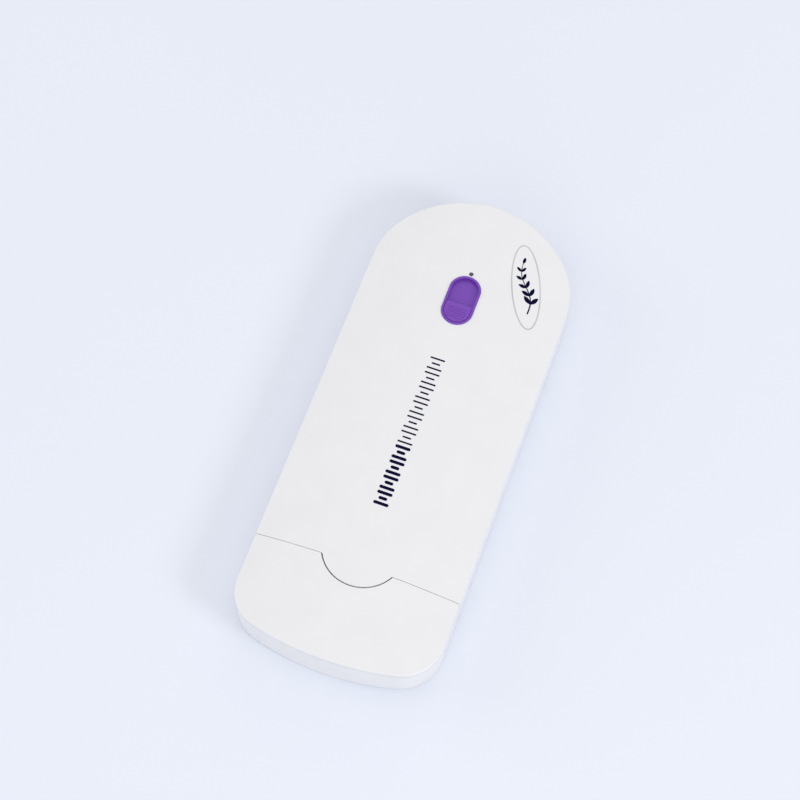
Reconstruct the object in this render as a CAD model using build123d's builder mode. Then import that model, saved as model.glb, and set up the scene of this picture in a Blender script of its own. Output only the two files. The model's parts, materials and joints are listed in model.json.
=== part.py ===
"""Light-guided rotary hair remover: a flat white hand unit with a slide switch and a slide-off cap.

The device lies on its back.  X runs across it, +Y runs from the cap to the round end and +Z leaves
the front face.  The origin is on the underside, in the middle of the length and of the width.
Millimetres.
"""
from build123d import *
from math import acos, cos, pi, sin, sqrt, tan, radians
import os

os.makedirs("parts", exist_ok=True)

# ---------------------------------------------------------------- driving dimensions
LENGTH = 145.0
WIDTH = 59.0
THICKNESS = 15.0            # at the centreline; the front face is crowned across its width
EDGE_THICKNESS = 11.6       # where the crowned face meets the side wall

ROUND_END_DEPTH = 25.0      # the round end is a flat three-centred arch
ROUND_SIDE_RADIUS = 22.0
BOW = 5.9                   # how far the cap's end bulges past its corners
CORNER_RADIUS = 12.4
RIM_FILLET = 0.45
SHELL_RIM_FILLET = 0.3
FOOT_FILLET = 0.9

SHELL_WALL = 1.8
SHELL_FLOOR = 1.6
COVER_THICKNESS = 1.3       # also where the parting line runs round the side, below the face
LIP_THICKNESS = 1.0         # a rib under the cover that locates it inside the shell
LIP_DEPTH = 1.2
SIDE_GAP = 0.28             # the parting line's width, and the matching groove round the cap
GROOVE_DEPTH = 0.6
SEAM_GAP = 0.14             # between the cap and the hand unit
TONGUE_GAP = 0.36           # between the cap and the cover's tongue

SEAM_FROM_END = 27.8        # the cap's length
TONGUE_RADIUS = 11.2
TONGUE_SETBACK = 5.1
CAP_WALL = 1.7
CAP_ROOF = 1.5

SWITCH_Y = 40.1
BEZEL_WIDTH, BEZEL_LENGTH = 9.3, 16.0
BEZEL_FLANGE = 0.2          # how far the bezel's rim laps onto the cover
WELL_WIDTH, WELL_LENGTH = 7.9, 14.6
KNOB_EASE = 0.12            # between the knob and the well all round
KNOB_WIDTH, KNOB_LENGTH = WELL_WIDTH - 2 * KNOB_EASE, 5.9
KNOB_CORNER = 0.5
KNOB_LIFT = 0.12            # between the knob and the well's floor
RIDGES, RIDGE_PITCH = 5, 0.75
RIDGE_RADIUS, RIDGE_LENGTH = 0.13, 5.4
SWITCH_TRAVEL = 3.2
LENS_Y = 49.05
LENS_RADIUS = 0.65

AXIS_Z = 7.0                # height of the drum, the gears and the motor
MODULE = 0.4
DRUM_TEETH, IDLER_TEETH, PINION_TEETH = 16, 16, 10
MESH_EASE = 0.06            # added to each gear centre distance
GEAR_X, GEAR_FACE = 16.6, 2.0
DRUM_Y = -63.9
DRUM_RADIUS = 4.1
DRUM_HALF = 14.6
FOIL_INNER, FOIL_THICKNESS = 4.25, 0.2
FOIL_HALF = 14.9

NECK_INSET = 1.9
NECK_FLOOR = 1.7
NECK_FRONT = -58.3
NECK_REAR = -31.0
NECK_WALL = 1.2
LID_TOP, LID_BOTTOM = 1.7, 2.9      # drops below the crowned face
HEAD_GAP = 0.25

# ---------------------------------------------------------------- derived places
CAP_END = -LENGTH / 2
ROUND_END = LENGTH / 2
SEAM_Y = CAP_END + SEAM_FROM_END
HALF = WIDTH / 2
CROWN_SAG = THICKNESS - EDGE_THICKNESS
CROWN_RADIUS = (HALF ** 2 + CROWN_SAG ** 2) / (2 * CROWN_SAG)
OPEN_TOP = -3.0             # a drop that reaches above the face, so a cut with it is open at the top
KNOB_Y = SWITCH_Y - WELL_LENGTH / 2 + KNOB_LENGTH / 2 + KNOB_EASE


def pitch_radius(teeth):
    return MODULE * teeth / 2


IDLER_A_Y = DRUM_Y + pitch_radius(DRUM_TEETH) + pitch_radius(IDLER_TEETH) + MESH_EASE
IDLER_B_Y = IDLER_A_Y + 2 * pitch_radius(IDLER_TEETH) + MESH_EASE
MOTOR_Y = IDLER_B_Y + pitch_radius(IDLER_TEETH) + pitch_radius(PINION_TEETH) + MESH_EASE


def crown_z(x, drop=0.0):
    """Height of the crowned face, lowered by `drop`, at a distance x from the centreline."""
    return THICKNESS - CROWN_RADIUS + sqrt((CROWN_RADIUS - drop) ** 2 - x ** 2)


# ---------------------------------------------------------------- shared shapes
def plan_outline(inset=0.0):
    """The device seen from the front: bowed cap end, straight sides, three-centred round end."""
    arch_y = ROUND_END - ROUND_END_DEPTH
    side_x = HALF - ROUND_SIDE_RADIUS
    depth = ROUND_END_DEPTH
    top_radius = (side_x ** 2 + depth ** 2 - ROUND_SIDE_RADIUS ** 2) / (2 * (depth - ROUND_SIDE_RADIUS))
    lean = acos(side_x / (top_radius - ROUND_SIDE_RADIUS))
    joint = (side_x + ROUND_SIDE_RADIUS * cos(lean), arch_y + ROUND_SIDE_RADIUS * sin(lean))
    middle = (side_x + ROUND_SIDE_RADIUS * cos(lean / 2), arch_y + ROUND_SIDE_RADIUS * sin(lean / 2))
    with BuildSketch() as plan:
        with BuildLine():
            ThreePointArc((-HALF, CAP_END + BOW), (0, CAP_END), (HALF, CAP_END + BOW))
            Line((HALF, CAP_END + BOW), (HALF, arch_y))
            ThreePointArc((HALF, arch_y), middle, joint)
            ThreePointArc(joint, (0, ROUND_END), (-joint[0], joint[1]))
            ThreePointArc((-joint[0], joint[1]), (-middle[0], middle[1]), (-HALF, arch_y))
            Line((-HALF, arch_y), (-HALF, CAP_END + BOW))
        make_face()
        fillet(plan.vertices().group_by(Axis.Y)[0], CORNER_RADIUS)
        if inset:
            offset(amount=-inset)
    return plan.sketch


def crown_section(drop):
    """The cross-section of everything below the crowned face lowered by `drop`."""
    reach = HALF + 2
    edge = crown_z(reach, drop)
    with BuildSketch(Plane.XZ) as section:
        with BuildLine():
            ThreePointArc((-reach, edge), (0, THICKNESS - drop), (reach, edge))
            Polyline((reach, edge), (reach, -1), (-reach, -1), (-reach, edge))
        make_face()
    return section.sketch


def crowned_block(inset, floor, drop, front=CAP_END, rear=ROUND_END, under=None):
    """The plan outline from z = floor up to the lowered crown, cut to a stretch of the length.

    With `under` set, the underside follows the crown too, that much below the face.
    """
    outline = plan_outline(inset)
    below_face = crown_section(drop)
    with BuildPart() as block:
        with BuildSketch(Plane.XY.offset(floor)):
            add(outline)
            with Locations((0, (front + rear) / 2)):
                Rectangle(2 * WIDTH, rear - front, mode=Mode.INTERSECT)
        extrude(amount=THICKNESS)
        extrude(below_face, amount=LENGTH, both=True, mode=Mode.INTERSECT)
        if under is not None:
            extrude(crown_section(under), amount=LENGTH, both=True, mode=Mode.SUBTRACT)
    return block.part


def block_between(low, high, mode=Mode.ADD):
    """A box between two opposite corners, in the current part."""
    size = [b - a for a, b in zip(low, high)]
    with Locations(tuple((a + b) / 2 for a, b in zip(low, high))):
        Box(*size, mode=mode)


def rod(start_x, end_x, y, z, radius, mode=Mode.ADD):
    """A round bar along X, in the current part."""
    with BuildSketch(Plane.YZ.offset(start_x)) as disc:
        with Locations((y, z)):
            Circle(radius)
    extrude(disc.sketch, amount=end_x - start_x, mode=mode)


def involute(angle):
    return tan(angle) - angle


def gear_outline(teeth, tooth_at):
    """Involute gear outline about the origin, with one tooth centred on the angle tooth_at."""
    pressure = radians(20)
    pitch = pitch_radius(teeth)
    base = pitch * cos(pressure)
    root, tip = pitch - 1.25 * MODULE, pitch + 0.9 * MODULE
    half_tooth = 0.44 * pi / teeth
    points = []
    for tooth in range(teeth):
        centre = radians(tooth_at) + 2 * pi * tooth / teeth
        flank = []
        start = max(root, base)
        for step in range(5):
            radius = start + (tip - start) * step / 4
            half = half_tooth + involute(pressure) - involute(acos(min(1.0, base / radius)))
            flank.append((radius, half))
        if root < base:
            flank.insert(0, (root, flank[0][1]))
        points += [(r * cos(centre - a), r * sin(centre - a)) for r, a in flank]
        points += [(r * cos(centre + a), r * sin(centre + a)) for r, a in reversed(flank)]
    with BuildSketch() as outline:
        with BuildLine():
            Polyline(*points, close=True)
        make_face()
    return outline.sketch


def save(part, name):
    part.label = name
    export_step(part, f"parts/{name}.step")


# ---------------------------------------------------------------- outer form, shared by shell and cap
with BuildPart() as slab_form:
    add(crowned_block(0, 0, 0))
    fillet(slab_form.faces().sort_by(Axis.Z)[-1].edges(), RIM_FILLET)
    fillet(slab_form.faces().sort_by(Axis.Z)[0].edges(), FOOT_FILLET)

SCREW_POINTS = [(-22.0, 44.0), (22.0, 44.0), (-23.0, -21.0), (23.0, -21.0)]
BOSS_RADIUS = 2.6
POST_TOP = 5.8
SCREW_RADIUS = 1.0
SCREW_HEAD_RADIUS = 1.9
SCREW_HEAD_Z = 1.6
RECESS_RADIUS = 2.1
PLUG_DEPTH = 1.3

BOARD_BOTTOM, BOARD_TOP = 6.8, 8.0
BOARD_FRONT = 19.5
BOARD_INSET = 3.4
BOARD_SCREWS = [(-15.5, 24.0), (15.5, 24.0), (0.0, 57.5)]
BOARD_POST_RADIUS = 2.2
PORT_WIDTH, PORT_HEIGHT = 7.6, 2.7

CELL_X = -12.5
CELL_RADIUS = 5.0
CELL_FRONT, CELL_REAR = -27.0, 17.0
CRADLE_STATIONS = [-20.0, -5.0, 10.0]

# ---------------------------------------------------------------- back shell
shell_cavity = crowned_block(SHELL_WALL, SHELL_FLOOR, OPEN_TOP)

with BuildPart() as back_shell:
    add(slab_form.part)
    extrude(crown_section(COVER_THICKNESS + SIDE_GAP), amount=LENGTH, both=True, mode=Mode.INTERSECT)
    fillet(back_shell.faces().sort_by(Axis.Z)[-1].edges(), SHELL_RIM_FILLET)
    add(shell_cavity, mode=Mode.SUBTRACT)
    block_between((-WIDTH, CAP_END - 1, -1), (WIDTH, SEAM_Y, 20), Mode.SUBTRACT)
    with BuildSketch(Plane.XY.offset(SHELL_FLOOR - 0.1)):
        with Locations(*SCREW_POINTS):
            Circle(BOSS_RADIUS + 0.6)
    extrude(amount=POST_TOP - SHELL_FLOOR + 0.1)
    with BuildSketch(Plane.XY.offset(SHELL_FLOOR - 0.1)):
        with Locations(*BOARD_SCREWS):
            Circle(BOARD_POST_RADIUS)
    extrude(amount=BOARD_BOTTOM - SHELL_FLOOR + 0.1)
    with BuildSketch(Plane.XY):
        with Locations(*SCREW_POINTS):
            Circle(RECESS_RADIUS)
    extrude(amount=SCREW_HEAD_Z + 1.4, mode=Mode.SUBTRACT)
    with BuildSketch(Plane.XY):
        with Locations(*SCREW_POINTS):
            Circle(SCREW_RADIUS + 0.15)
    extrude(amount=POST_TOP + 1, mode=Mode.SUBTRACT)
    with BuildSketch(Plane.XY.offset(SHELL_FLOOR + 0.8)):
        with Locations(*BOARD_SCREWS):
            Circle(0.7)
    extrude(amount=10, mode=Mode.SUBTRACT)
    port_z = BOARD_TOP + PORT_HEIGHT / 2 + 0.05
    with BuildSketch(Plane.XZ.offset(-ROUND_END - 1)):
        with Locations((0, port_z)):
            RectangleRounded(PORT_WIDTH + 0.3, PORT_HEIGHT + 0.3, 0.9)
    extrude(amount=5, mode=Mode.SUBTRACT)
save(back_shell.part, "back_shell")

# ---------------------------------------------------------------- front cover with its tongue
LIP_INSET = SHELL_WALL + 0.1
lip_bottom = COVER_THICKNESS + LIP_DEPTH
lip_block = crowned_block(LIP_INSET, 0, 0.2, NECK_REAR + 0.6, under=lip_bottom)
lip_hollow = crowned_block(LIP_INSET + LIP_THICKNESS, 0, OPEN_TOP, NECK_REAR, under=lip_bottom + 1)

with BuildPart() as cover_lip:
    add(lip_block)
    add(lip_hollow, mode=Mode.SUBTRACT)

with BuildPart() as front_cover:
    add(slab_form.part)
    extrude(crown_section(COVER_THICKNESS), amount=LENGTH, both=True, mode=Mode.SUBTRACT)
    add(cover_lip.part)
    with BuildSketch(Plane.XY):
        with Locations((0, (SEAM_Y + ROUND_END) / 2)):
            Rectangle(2 * WIDTH, ROUND_END - SEAM_Y)
        with Locations((0, SEAM_Y + TONGUE_SETBACK)):
            Circle(TONGUE_RADIUS)
    extrude(amount=20, mode=Mode.INTERSECT)
    with BuildSketch(Plane.XY.offset(POST_TOP)):
        with Locations(*SCREW_POINTS):
            Circle(BOSS_RADIUS)
    extrude(amount=crown_z(24, COVER_THICKNESS) - POST_TOP + 0.5)
    with BuildSketch(Plane.XY.offset(POST_TOP)):
        with Locations(*SCREW_POINTS):
            Circle(SCREW_RADIUS)
    extrude(amount=5.0, mode=Mode.SUBTRACT)
    with BuildSketch(Plane.XY.offset(9)):
        with Locations((0, SWITCH_Y)):
            SlotOverall(BEZEL_LENGTH - 2 * BEZEL_FLANGE, BEZEL_WIDTH - 2 * BEZEL_FLANGE, rotation=90)
        with Locations((0, LENS_Y)):
            Circle(LENS_RADIUS)
    extrude(amount=8, mode=Mode.SUBTRACT)
save(front_cover.part, "front_cover")

# ---------------------------------------------------------------- cap
cap_cavity = crowned_block(CAP_WALL, CAP_ROOF, CAP_ROOF)
groove_outer = crowned_block(-1, 0, COVER_THICKNESS, CAP_END - 1, under=COVER_THICKNESS + SIDE_GAP)
groove_core = plan_outline(GROOVE_DEPTH)

with BuildPart() as side_groove:
    add(groove_outer)
    extrude(groove_core, amount=THICKNESS, mode=Mode.SUBTRACT)

with BuildPart() as cap_shell:
    add(slab_form.part)
    add(cap_cavity, mode=Mode.SUBTRACT)
    add(side_groove.part, mode=Mode.SUBTRACT)
    block_between((-WIDTH, SEAM_Y - SEAM_GAP, -1), (WIDTH, ROUND_END + 1, 20), Mode.SUBTRACT)
    with BuildSketch(Plane.XY.offset(10)):
        with Locations((0, SEAM_Y + TONGUE_SETBACK)):
            Circle(TONGUE_RADIUS + TONGUE_GAP)
    extrude(amount=8, mode=Mode.SUBTRACT)
save(cap_shell.part, "cap_shell")

# ---------------------------------------------------------------- slide switch: bezel, knob, nub
BEZEL_TOP = THICKNESS + 0.25
WELL_FLOOR = THICKNESS - 0.9
KNOB_TOP = THICKNESS + 0.55
STEM_Y = KNOB_Y - 1.35
STEM_WIDTH, STEM_LENGTH = 2.6, 1.6
STEM_EASE = 0.2             # between the stem and its slot all round
STEM_END = 12.0             # how low the knob's stem reaches
NUB_SIZE = 1.1
NUB_LOW, NUB_HIGH = 10.3, 13.2
BEZEL_BODY = 2.2            # how deep the bezel's body reaches below its rim
BEZEL_FIT = 0.1
BODY_WIDTH = BEZEL_WIDTH - 2 * BEZEL_FLANGE - BEZEL_FIT
BODY_LENGTH = BEZEL_LENGTH - 2 * BEZEL_FLANGE - BEZEL_FIT
SLOT_WIDTH = STEM_WIDTH + 2 * STEM_EASE
SLOT_CENTRE = STEM_Y + SWITCH_TRAVEL / 2

with BuildPart() as switch_bezel:
    with BuildSketch(Plane.XY.offset(THICKNESS)):
        with Locations((0, SWITCH_Y)):
            SlotOverall(BEZEL_LENGTH, BEZEL_WIDTH, rotation=90)
    extrude(amount=BEZEL_TOP - THICKNESS)
    fillet(switch_bezel.edges().group_by(Axis.Z)[-1], 0.2)
    with BuildSketch(Plane.XY.offset(THICKNESS - BEZEL_BODY)):
        with Locations((0, SWITCH_Y)):
            SlotOverall(BODY_LENGTH, BODY_WIDTH, rotation=90)
    extrude(amount=BEZEL_BODY)
    with BuildSketch(Plane.XY.offset(WELL_FLOOR)):
        with Locations((0, SWITCH_Y)):
            SlotOverall(WELL_LENGTH, WELL_WIDTH, rotation=90)
    extrude(amount=3, mode=Mode.SUBTRACT)
    with BuildSketch(Plane.XY.offset(THICKNESS - 3)):
        with Locations((0, SLOT_CENTRE)):
            Rectangle(SLOT_WIDTH, STEM_LENGTH + SWITCH_TRAVEL + 2 * STEM_EASE)
    extrude(amount=4, mode=Mode.SUBTRACT)
save(switch_bezel.part, "switch_bezel")

with BuildPart() as switch_knob:
    with BuildSketch(Plane.XY.offset(WELL_FLOOR + KNOB_LIFT)) as knob_plan:
        with Locations((0, SWITCH_Y)):
            SlotOverall(WELL_LENGTH - 2 * KNOB_EASE, KNOB_WIDTH, rotation=90)
        with Locations((0, KNOB_Y)):
            Rectangle(2 * KNOB_WIDTH, KNOB_LENGTH, mode=Mode.INTERSECT)
        fillet(knob_plan.vertices().group_by(Axis.Y)[-1], KNOB_CORNER)
    extrude(amount=KNOB_TOP - WELL_FLOOR - KNOB_LIFT)
    fillet(switch_knob.edges().group_by(Axis.Z)[-1], 0.3)
    for ridge in range(RIDGES):
        groove_y = KNOB_Y - 1.8 + RIDGE_PITCH * ridge
        with BuildSketch(Plane.YZ.offset(-RIDGE_LENGTH / 2)):
            with Locations((groove_y, KNOB_TOP)):
                Circle(RIDGE_RADIUS)
        extrude(amount=RIDGE_LENGTH, mode=Mode.SUBTRACT)
    block_between((-STEM_WIDTH / 2, STEM_Y - STEM_LENGTH / 2, STEM_END),
                  (STEM_WIDTH / 2, STEM_Y + STEM_LENGTH / 2, WELL_FLOOR + 0.3))
    socket = NUB_SIZE / 2 + 0.05
    block_between((-socket, STEM_Y - socket, STEM_END - 0.1), (socket, STEM_Y + socket, NUB_HIGH + 0.1),
                  Mode.SUBTRACT)
save(switch_knob.part, "switch_knob")

SLIDE_BODY_TOP = 11.5
BODY_HALF_X, BODY_HALF_Y = 2.2, 4.6
SLIDE_SLOT_HALF = 0.75

with BuildPart() as slide_switch_body:
    block_between((-BODY_HALF_X, SLOT_CENTRE - BODY_HALF_Y, BOARD_TOP),
                  (BODY_HALF_X, SLOT_CENTRE + BODY_HALF_Y, SLIDE_BODY_TOP))
    block_between((-SLIDE_SLOT_HALF, STEM_Y - 0.8, NUB_LOW - 0.1),
                  (SLIDE_SLOT_HALF, STEM_Y + SWITCH_TRAVEL + 0.8, SLIDE_BODY_TOP + 0.5), Mode.SUBTRACT)
save(slide_switch_body.part, "slide_switch_body")

with BuildPart() as switch_nub:
    half_nub = NUB_SIZE / 2
    block_between((-half_nub, STEM_Y - half_nub, NUB_LOW), (half_nub, STEM_Y + half_nub, NUB_HIGH))
save(switch_nub.part, "switch_nub")

# ---------------------------------------------------------------- indicator
with BuildPart() as indicator_lens:
    with BuildSketch(Plane.XY.offset(BOARD_TOP + 1.1)):
        with Locations((0, LENS_Y)):
            Circle(LENS_RADIUS - 0.02)
    extrude(amount=crown_z(0) + 0.1 - BOARD_TOP - 1.1)
    fillet(indicator_lens.edges().group_by(Axis.Z)[-1], 0.3)
save(indicator_lens.part, "indicator_lens")

with BuildPart() as indicator_led:
    block_between((-0.8, LENS_Y - 0.5, BOARD_TOP), (0.8, LENS_Y + 0.5, BOARD_TOP + 0.8))
save(indicator_led.part, "indicator_led")

# ---------------------------------------------------------------- main board and what is on it
board_outline = plan_outline(BOARD_INSET)

with BuildPart() as main_board:
    with BuildSketch(Plane.XY.offset(BOARD_BOTTOM)):
        add(board_outline)
        with Locations((0, (BOARD_FRONT + ROUND_END) / 2)):
            Rectangle(36.0, ROUND_END - BOARD_FRONT, mode=Mode.INTERSECT)
    extrude(amount=BOARD_TOP - BOARD_BOTTOM)
    with Locations(*[(x, y, BOARD_TOP) for x, y in BOARD_SCREWS]):
        Hole(0.9)
save(main_board.part, "main_board")

with BuildPart() as charge_port:
    port_rear = ROUND_END - 1.0
    with BuildSketch(Plane.XZ.offset(-port_rear)):
        with Locations((0, BOARD_TOP + PORT_HEIGHT / 2)):
            RectangleRounded(PORT_WIDTH, PORT_HEIGHT, 0.8)
            RectangleRounded(PORT_WIDTH - 0.7, PORT_HEIGHT - 0.7, 0.5, mode=Mode.SUBTRACT)
    extrude(amount=6.0)
    block_between((-3.2, port_rear - 6.0, BOARD_TOP + 0.2),
                  (3.2, port_rear - 5.4, BOARD_TOP + PORT_HEIGHT - 0.2))
    block_between((-2.2, port_rear - 5.5, BOARD_TOP + 1.1), (2.2, port_rear - 1.2, BOARD_TOP + 1.6))
save(charge_port.part, "charge_port")


def chip(name, centre, size, pin_rows):
    """A gull-wing chip: a bevelled package with its pins in two rows."""
    x, y = centre
    width, length, height = size
    with BuildPart() as package:
        block_between((x - width / 2, y - length / 2, BOARD_TOP + 0.1),
                      (x + width / 2, y + length / 2, BOARD_TOP + 0.1 + height))
        chamfer(package.edges().group_by(Axis.Z)[-1], 0.15)
        for row in range(pin_rows):
            pin_y = y - length / 2 + length * (row + 0.5) / pin_rows
            for side in (-1, 1):
                inner, outer = x + side * (width / 2 - 0.1), x + side * (width / 2 + 0.8)
                low_x, high_x = min(inner, outer), max(inner, outer)
                block_between((low_x, pin_y - 0.2, BOARD_TOP), (high_x, pin_y + 0.2, BOARD_TOP + 0.3))
    save(package.part, name)


chip("control_chip", (-10.0, 33.0), (3.9, 5.0, 1.3), 4)
chip("charger_chip", (9.0, 50.0), (2.9, 3.0, 1.1), 3)

with BuildPart() as capacitors:
    with BuildSketch(Plane.XY.offset(BOARD_TOP)):
        with Locations((10.5, 30.0), (10.5, 38.0)):
            Circle(2.0)
    extrude(amount=3.0)
    chamfer(capacitors.edges().group_by(Axis.Z)[-1], 0.3)
save(capacitors.part, "capacitors")

with BuildPart() as board_screws:
    with BuildSketch(Plane.XY.offset(SHELL_FLOOR + 1.2)):
        with Locations(*BOARD_SCREWS):
            Circle(0.7)
    extrude(amount=BOARD_TOP - SHELL_FLOOR - 1.2)
    with BuildSketch(Plane.XY.offset(BOARD_TOP)):
        with Locations(*BOARD_SCREWS):
            Circle(1.5)
    extrude(amount=0.9)
    fillet(board_screws.edges().group_by(Axis.Z)[-1], 0.3)
    with BuildSketch(Plane.XY.offset(BOARD_TOP + 0.5)):
        with Locations(*BOARD_SCREWS):
            Rectangle(1.6, 0.35)
            Rectangle(0.35, 1.6)
    extrude(amount=1, mode=Mode.SUBTRACT)
save(board_screws.part, "board_screws")

# ---------------------------------------------------------------- case screws and their plugs
with BuildPart() as case_screws:
    with BuildSketch(Plane.XY.offset(SCREW_HEAD_Z)):
        with Locations(*SCREW_POINTS):
            Circle(SCREW_HEAD_RADIUS)
    extrude(amount=1.4)
    with BuildSketch(Plane.XY.offset(SCREW_HEAD_Z + 1.4)):
        with Locations(*SCREW_POINTS):
            Circle(SCREW_RADIUS)
    extrude(amount=7.2)
    with BuildSketch(Plane.XY.offset(SCREW_HEAD_Z)):
        with Locations(*SCREW_POINTS):
            Rectangle(2.2, 0.45)
            Rectangle(0.45, 2.2)
    extrude(amount=0.7, mode=Mode.SUBTRACT)
save(case_screws.part, "case_screws")

with BuildPart() as screw_plugs:
    with BuildSketch(Plane.XY):
        with Locations(*SCREW_POINTS):
            Circle(RECESS_RADIUS - 0.08)
    extrude(amount=PLUG_DEPTH)
    chamfer(screw_plugs.edges().group_by(Axis.Z)[0], 0.2)
save(screw_plugs.part, "screw_plugs")

# ---------------------------------------------------------------- battery
with BuildPart() as battery_cell:
    with BuildSketch(Plane.XZ.offset(-CELL_REAR)):
        with Locations((CELL_X, AXIS_Z)):
            Circle(CELL_RADIUS)
    extrude(amount=CELL_REAR - CELL_FRONT - 1.0)
    fillet(battery_cell.edges(), 0.5)
    with BuildSketch(Plane.XZ.offset(-CELL_FRONT - 1.5)):
        with Locations((CELL_X, AXIS_Z)):
            Circle(1.6)
    extrude(amount=1.5)
save(battery_cell.part, "battery_cell")

with BuildPart() as battery_tabs:
    block_between((CELL_X - 1.8, CELL_REAR, AXIS_Z - 2.5), (CELL_X + 1.8, CELL_REAR + 0.2, AXIS_Z + 3.2))
    block_between((CELL_X - 1.8, CELL_FRONT - 0.2, AXIS_Z - 1.8), (CELL_X + 6.6, CELL_FRONT, AXIS_Z + 1.9))
save(battery_tabs.part, "battery_tabs")

with BuildPart() as battery_cradle:
    block_between((CELL_X - 5.6, -22.0, SHELL_FLOOR), (CELL_X + 5.6, 12.0, SHELL_FLOOR + 0.35))
    for station in CRADLE_STATIONS:
        block_between((CELL_X - 5.6, station - 1, SHELL_FLOOR), (CELL_X + 5.6, station + 1, AXIS_Z - 1.2))
    with BuildSketch(Plane.XZ.offset(30)):
        with Locations((CELL_X, AXIS_Z)):
            Circle(CELL_RADIUS + 0.01)
    extrude(amount=-60, mode=Mode.SUBTRACT)
save(battery_cradle.part, "battery_cradle")

# ---------------------------------------------------------------- neck: tray and lid
RIB_NEAR, RIB_FAR = (14.5, 16.0), (19.3, 20.7)
RIB_HEIGHT = 10.0
PIN_RADIUS = 0.6
PIN_BORE = 0.66
MOTOR_LEFT, MOTOR_RIGHT = -6.2, 13.8
MOTOR_WIDTH, MOTOR_HEIGHT = 12.0, 8.0
MOUNT_THICKNESS = 1.1
LED_X, LED_Z = -18.7, 9.3
PRONG_X, PRONG_WIDTH, PRONG_LENGTH = 24.6, 2.0, 6.0
PRONG_LOW, PRONG_HIGH = 5.6, 8.4
PRONG_EASE = 0.15

neck_outer = crowned_block(NECK_INSET, NECK_FLOOR, LID_BOTTOM + 0.02, NECK_FRONT, NECK_REAR)
neck_floor_top = NECK_FLOOR + NECK_WALL
neck_pocket = crowned_block(NECK_INSET + NECK_WALL, neck_floor_top, OPEN_TOP, NECK_FRONT + NECK_WALL)

with BuildPart() as neck_tray:
    add(neck_outer)
    add(neck_pocket, mode=Mode.SUBTRACT)
    for left, right in (RIB_NEAR, RIB_FAR):
        block_between((left, NECK_FRONT + 0.5, neck_floor_top - 0.2), (right, IDLER_B_Y + 2.4, RIB_HEIGHT))
    half_motor = MOTOR_WIDTH / 2
    for side in (-1, 1):
        near = MOTOR_Y + side * (half_motor + MOUNT_THICKNESS)
        far = near + side * 1.0
        block_between((MOTOR_LEFT + 1, min(near, far), neck_floor_top - 0.2),
                      (MOTOR_RIGHT - 1.5, max(near, far), 8.5))
    for gear_y in (IDLER_A_Y, IDLER_B_Y):
        rod(RIB_NEAR[0] - 1, RIB_FAR[1] + 0.1, gear_y, AXIS_Z, PIN_RADIUS, Mode.SUBTRACT)
    # the slot that the first idler reaches through, the light windows and the two prong channels
    block_between((GEAR_X - 0.5, NECK_FRONT - 1, 3.0), (GEAR_X + GEAR_FACE + 0.5, NECK_FRONT + 2, 12),
                  Mode.SUBTRACT)
    block_between((LED_X - 1.6, NECK_FRONT - 1, LED_Z - 1.1), (LED_X + 1.6, NECK_FRONT + 2, LED_Z + 1.1),
                  Mode.SUBTRACT)
    for side in (-1, 1):
        x = side * PRONG_X
        half = PRONG_WIDTH / 2 + PRONG_EASE
        block_between((x - half, NECK_FRONT - 1, PRONG_LOW - PRONG_EASE),
                      (x + half, NECK_FRONT + PRONG_LENGTH + 0.5, PRONG_HIGH + PRONG_EASE), Mode.SUBTRACT)
save(neck_tray.part, "neck_tray")

neck_lid_blank = crowned_block(NECK_INSET, NECK_FLOOR, LID_TOP, NECK_FRONT, NECK_REAR, under=LID_BOTTOM)

with BuildPart() as neck_lid:
    add(neck_lid_blank)
    gear_relief = pitch_radius(IDLER_TEETH) + 0.7
    for gear_y in (IDLER_A_Y, IDLER_B_Y):
        rod(GEAR_X - 0.3, GEAR_X + GEAR_FACE + 0.3, gear_y, AXIS_Z, gear_relief, Mode.SUBTRACT)
    for screw_x, screw_y in SCREW_POINTS[2:]:
        with Locations((screw_x, screw_y, 10)):
            Cylinder(BOSS_RADIUS + 0.4, 12, mode=Mode.SUBTRACT)
save(neck_lid.part, "neck_lid")

with BuildPart() as gear_pins:
    for gear_y in (IDLER_A_Y, IDLER_B_Y):
        rod(RIB_NEAR[0], RIB_FAR[1], gear_y, AXIS_Z, PIN_RADIUS)
save(gear_pins.part, "gear_pins")

# ---------------------------------------------------------------- gears
TOOTH_ON_Y, GAP_ON_Y = 0.0, 0.5     # in tooth pitches: what faces the mesh point, along Y


def spur_gear(name, teeth, centre_y, facing, bore):
    outline = gear_outline(teeth, facing * 360 / teeth)
    with BuildPart() as gear:
        with BuildSketch(Plane(origin=(GEAR_X, centre_y, AXIS_Z), x_dir=(0, 1, 0), z_dir=(1, 0, 0))):
            add(outline)
            Circle(bore, mode=Mode.SUBTRACT)
        extrude(amount=GEAR_FACE)
    save(gear.part, name)


spur_gear("drum_gear", DRUM_TEETH, DRUM_Y, TOOTH_ON_Y, 0.75)
spur_gear("idler_gear_a", IDLER_TEETH, IDLER_A_Y, GAP_ON_Y, PIN_BORE)
spur_gear("idler_gear_b", IDLER_TEETH, IDLER_B_Y, TOOTH_ON_Y, PIN_BORE)
spur_gear("motor_pinion", PINION_TEETH, MOTOR_Y, GAP_ON_Y, 0.5)

# ---------------------------------------------------------------- motor
CAN_WALL = 0.5
SHAFT_RADIUS = 0.5
BUSH_RADIUS = 1.6
ARMATURE_RADIUS = 3.1
MAGNET_BORE = 3.45
MAGNET_INNER_HALF = 3.7


def flat_can_sketch(shrink):
    """The motor's flat-sided round section."""
    with Locations((MOTOR_Y, AXIS_Z)):
        Circle(MOTOR_WIDTH / 2 - shrink)
        Rectangle(MOTOR_WIDTH, MOTOR_HEIGHT - 2 * shrink, mode=Mode.INTERSECT)


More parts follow.
